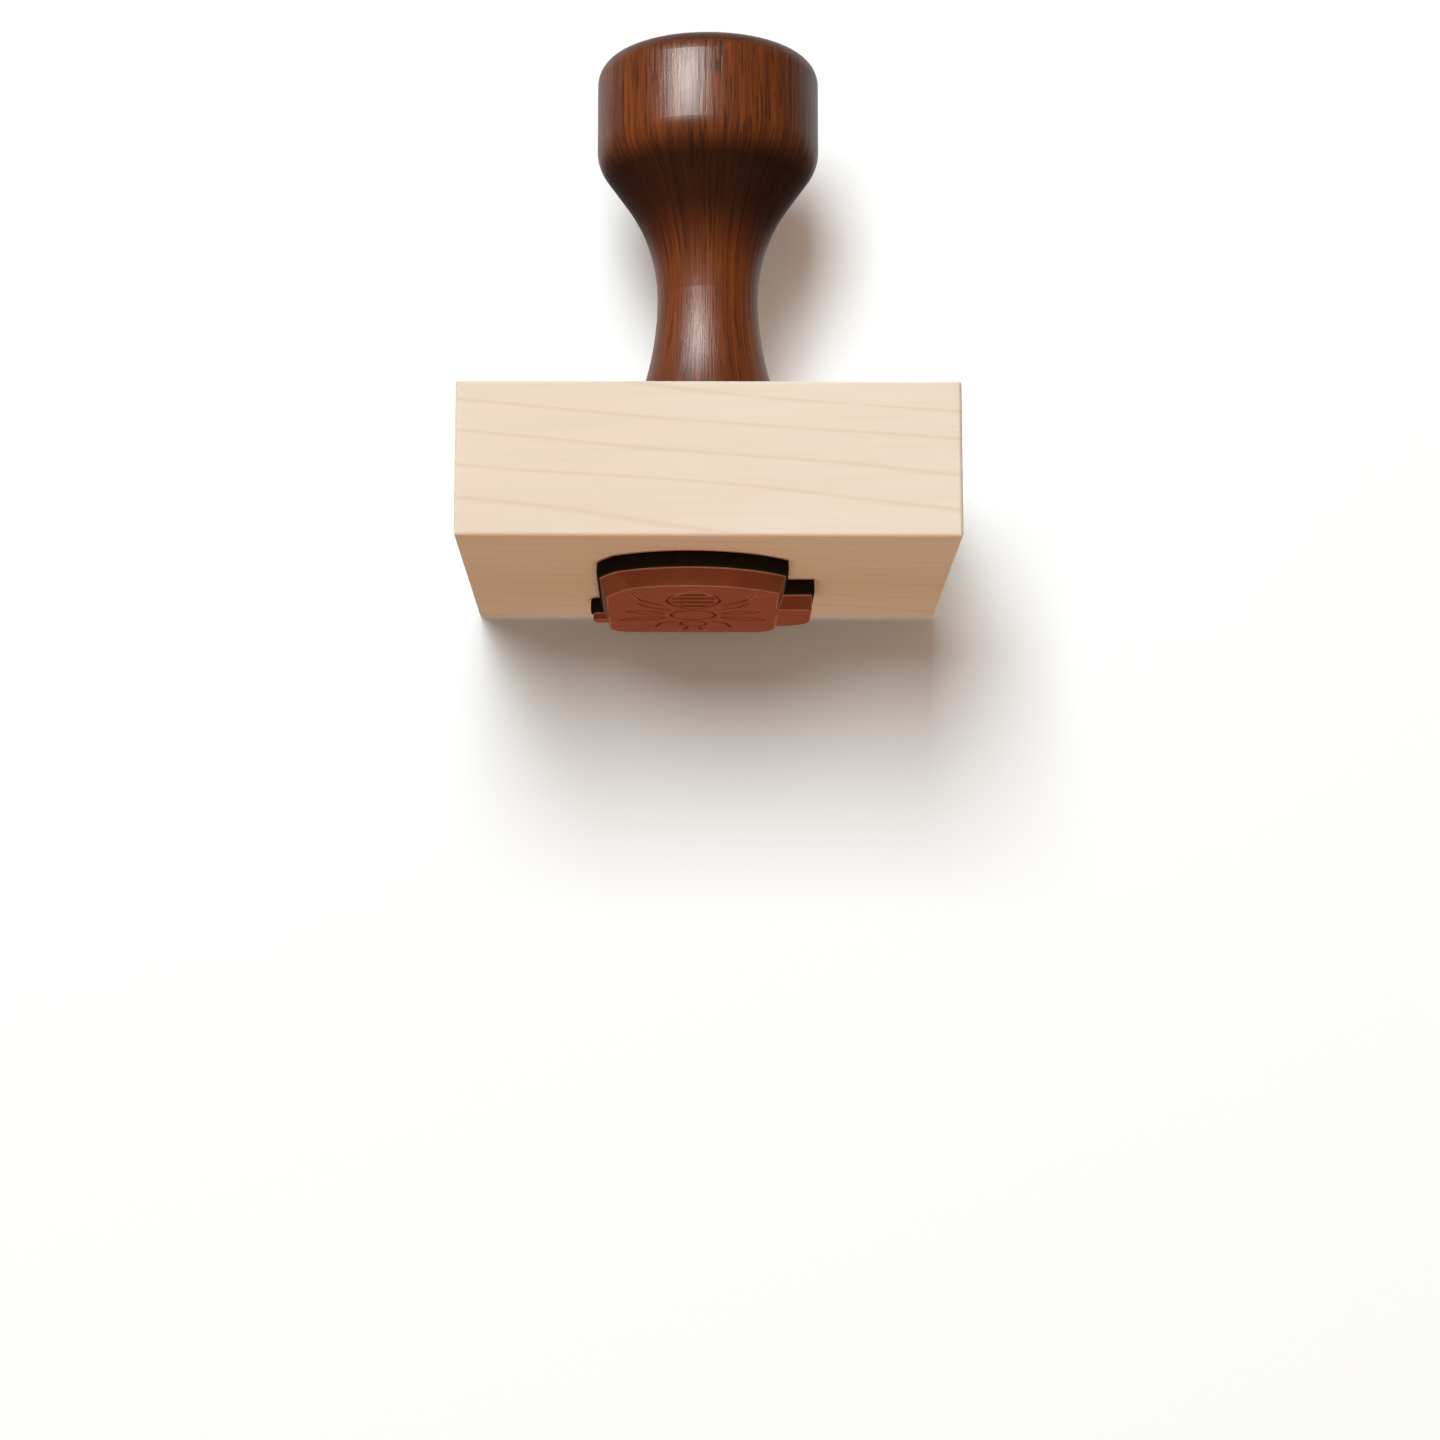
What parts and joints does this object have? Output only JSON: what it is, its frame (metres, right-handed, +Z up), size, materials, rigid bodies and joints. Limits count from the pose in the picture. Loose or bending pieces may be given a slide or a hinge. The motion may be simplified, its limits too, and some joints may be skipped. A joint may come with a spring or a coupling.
{
  "type": "rubber stamp",
  "caption": "Wood-mounted rubber stamp with a turned handle, a maple block, a foam cushion and an engraved die.",
  "frame": {"origin": "centre of the block's footprint, on the axis of the handle, in the plane of the printing face", "axes": "+Z up along the handle, -Y the front of the block, +X to the right as seen from the front"},
  "size_m": [0.0636, 0.0508, 0.0775],
  "materials": {
    "stained_wood": "walnut stain under gloss lacquer, fine dark grain along the axis",
    "maple": "smooth sanded, faint growth lines",
    "zinc_plated_steel": "yellow zinc plated",
    "adhesive_film": "clear acrylic adhesive film",
    "foam": "matt closed-cell foam",
    "die_rubber": "satin red-brown natural rubber"
  },
  "bodies": {
    "mount": {"handle": "stained_wood", "block": "maple", "handle_screw": "zinc_plated_steel", "block_adhesive": "adhesive_film", "foam_cushion": "foam"},
    "die": {"die_adhesive": "adhesive_film", "rubber_die": "die_rubber"}
  },
  "joints": [
    {"name": "die_press", "type": "slide", "parent": "mount", "child": "die", "axis": [0, 0, 1], "range_m": [0, 0.0008], "stiffness_N_per_m": 20000, "deforming": ["foam_cushion"]}
  ]
}
